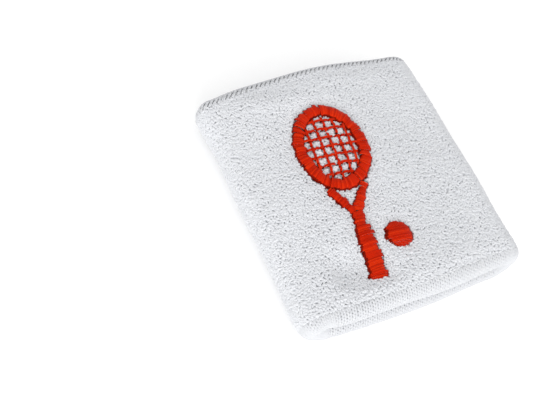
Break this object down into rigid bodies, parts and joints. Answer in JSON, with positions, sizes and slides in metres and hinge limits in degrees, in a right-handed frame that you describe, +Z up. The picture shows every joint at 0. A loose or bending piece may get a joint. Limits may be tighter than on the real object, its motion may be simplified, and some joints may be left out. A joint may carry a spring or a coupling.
{
  "type": "sweat wristband",
  "caption": "Stretchy terry sweat wristband for racket sports, a short double-layer knitted tube lying flat, with a satin-stitched racket and ball on its front wall.",
  "frame": {"origin": "under the middle of the band, on the surface that it lies on", "axes": "+Z up through the embroidered front wall, X across the pressed width, Y along the tube from the near mouth, where the seam is, to the far mouth"},
  "size_m": [0.08, 0.086, 0.0204],
  "materials": {
    "terry_white": "white cotton terry loops, matte",
    "terry_lining": "white cotton terry loops on the skin side, matte",
    "seam_thread": "white polyester sewing thread",
    "elastic_yarn": "covered elastic yarn, off-white",
    "embroidery_red": "orange-red rayon embroidery thread, silky",
    "backing_felt": "white non-woven cut-away backing",
    "bobbin_thread": "white polyester bobbin thread"
  },
  "bodies": {
    "root": {"outer_terry_shell": "terry_white", "inner_terry_lining": "terry_lining", "near_mouth_fold": "terry_white", "far_mouth_fold": "terry_white", "closing_seam_thread": "seam_thread", "outer_layer_elastic_yarn": "elastic_yarn", "inner_layer_elastic_yarn": "elastic_yarn", "racket_head_stitching": "embroidery_red", "racket_string_stitching": "embroidery_red", "racket_throat_stitching": "embroidery_red", "racket_grip_stitching": "embroidery_red", "ball_stitching": "embroidery_red", "embroidery_backing": "backing_felt", "bobbin_stitching": "bobbin_thread"}
  },
  "joints": []
}
